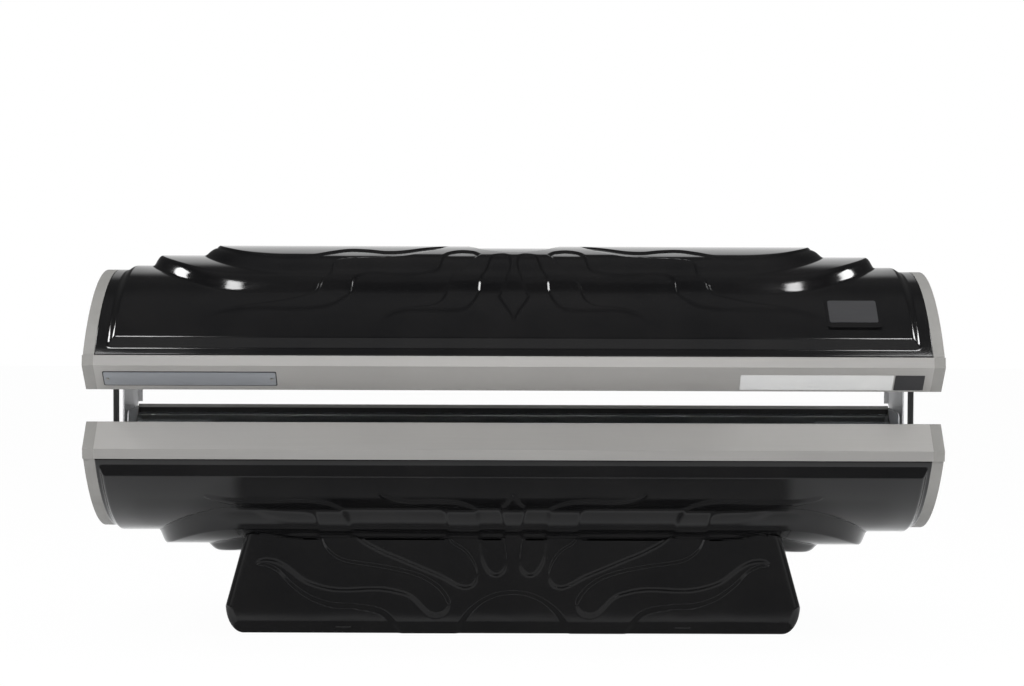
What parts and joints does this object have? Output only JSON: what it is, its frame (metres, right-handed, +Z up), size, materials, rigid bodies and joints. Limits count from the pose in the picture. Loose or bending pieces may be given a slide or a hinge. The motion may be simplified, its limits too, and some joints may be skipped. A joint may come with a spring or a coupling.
{
  "type": "clamshell tanning bed",
  "caption": "Clamshell tanning bed: bench and hinged canopy with moulded shells in sun-ray relief, curved acrylics over tube lamps, gas springs and a flared base.",
  "frame": {"origin": "on the floor, under the middle of the bed", "axes": "+X along the bed to its right-hand end seen from the front, +Y from the front to the hinge side, +Z up"},
  "size_m": [2.2606, 0.848, 1.031],
  "materials": {
    "black_shell": "high gloss, vacuum formed",
    "satin_rail": "satin anodised",
    "end_cap": "fine texture",
    "acrylic": "clear",
    "rubber": "black",
    "steel_plate": "light grey powder coat",
    "zinc_steel": "zinc plated",
    "black_steel": "black paint",
    "chrome_rod": "hard chrome",
    "lamp_glass": "coated inside",
    "reflector": "polished sheet",
    "white_plastic": "moulded",
    "fan_plastic": "moulded",
    "ballast_steel": "potted choke",
    "red_button": "moulded"
  },
  "bodies": {
    "bench": {"base_cover": "black_shell", "base_frame": "black_steel", "levelling_feet": "rubber", "ballast_tray": "zinc_steel", "bench_ballasts": "ballast_steel", "base_rear_panel": "black_steel", "power_inlet": "fan_plastic", "fan_frames": "fan_plastic", "bench_shell": "black_shell", "bench_front_rail": "satin_rail", "bench_rear_rail": "satin_rail", "bench_end_cap_left": "end_cap", "bench_end_cap_right": "end_cap", "bench_bulkhead_left": "zinc_steel", "bench_bulkhead_right": "zinc_steel", "bench_ribs": "zinc_steel", "bench_reflector": "reflector", "bench_lamps": "lamp_glass", "bench_lampholders": "white_plastic", "bench_end_shields": "reflector", "bench_acrylic": "acrylic", "bench_acrylic_gaskets": "rubber", "hinge_bracket_left": "steel_plate", "hinge_bracket_right": "steel_plate", "hinge_pin_left": "zinc_steel", "hinge_pin_right": "zinc_steel", "gas_spring_lower_studs": "zinc_steel"},
    "canopy": {"canopy_shell": "black_shell", "canopy_front_rail": "satin_rail", "canopy_rear_rail": "satin_rail", "canopy_end_cap_left": "end_cap", "canopy_end_cap_right": "end_cap", "canopy_bulkhead_left": "zinc_steel", "canopy_bulkhead_right": "zinc_steel", "canopy_ribs": "zinc_steel", "canopy_reflector": "reflector", "canopy_lamps": "lamp_glass", "canopy_lampholders": "white_plastic", "canopy_end_shields": "reflector", "canopy_acrylic": "acrylic", "canopy_acrylic_gaskets": "rubber", "canopy_ballasts": "ballast_steel", "lift_arm_left": "steel_plate", "lift_arm_right": "steel_plate", "lift_arm_spacers": "zinc_steel", "gas_spring_upper_studs": "zinc_steel", "stop_switch_housing": "fan_plastic"},
    "gas_spring_cylinder_left": {"gas_spring_cylinder_left": "black_steel"},
    "gas_spring_cylinder_right": {"gas_spring_cylinder_right": "black_steel"},
    "gas_spring_rod_left": {"gas_spring_rod_left": "chrome_rod"},
    "gas_spring_rod_right": {"gas_spring_rod_right": "chrome_rod"},
    "fan_impeller_left": {"fan_impeller_left": "fan_plastic"},
    "fan_impeller_right": {"fan_impeller_right": "fan_plastic"},
    "stop_button": {"stop_button": "red_button"}
  },
  "joints": [
    {"name": "canopy_hinge", "type": "hinge", "parent": "bench", "child": "canopy", "pos_m": [0, 0.345, 0.556], "axis": [-1, 0, 0], "range_deg": [0, 40]},
    {"name": "gas_spring_rod_left_eye", "type": "hinge", "parent": "bench", "child": "gas_spring_rod_left", "pos_m": [-1.121, 0.215, 0.332], "axis": [-1, 0, 0], "range_deg": [0, 20]},
    {"name": "gas_spring_cylinder_left_eye", "type": "hinge", "parent": "canopy", "child": "gas_spring_cylinder_left", "pos_m": [-1.121, 0.215, 0.78], "axis": [-1, 0, 0], "range_deg": [-20, 0]},
    {"name": "fan_left_spin", "type": "hinge", "parent": "bench", "child": "fan_impeller_left", "pos_m": [-0.3, 0.199, 0.128], "axis": [0, 1, 0], "continuous": true},
    {"name": "gas_spring_rod_right_eye", "type": "hinge", "parent": "bench", "child": "gas_spring_rod_right", "pos_m": [1.121, 0.215, 0.332], "axis": [-1, 0, 0], "range_deg": [0, 20]},
    {"name": "gas_spring_cylinder_right_eye", "type": "hinge", "parent": "canopy", "child": "gas_spring_cylinder_right", "pos_m": [1.121, 0.215, 0.78], "axis": [-1, 0, 0], "range_deg": [-20, 0]},
    {"name": "fan_right_spin", "type": "hinge", "parent": "bench", "child": "fan_impeller_right", "pos_m": [0.3, 0.199, 0.128], "axis": [0, 1, 0], "continuous": true},
    {"name": "stop_button_press", "type": "slide", "parent": "canopy", "child": "stop_button", "axis": [0, -1, 0], "range_m": [0, 0.003], "stiffness_N_per_m": 500, "springref_m": -0.002}
  ],
  "couplings": [
    {"joint": "gas_spring_rod_left_eye", "follows": "canopy_hinge", "ratio": 0.5},
    {"joint": "gas_spring_cylinder_left_eye", "follows": "canopy_hinge", "ratio": -0.5},
    {"joint": "gas_spring_rod_right_eye", "follows": "canopy_hinge", "ratio": 0.5},
    {"joint": "gas_spring_cylinder_right_eye", "follows": "canopy_hinge", "ratio": -0.5}
  ]
}
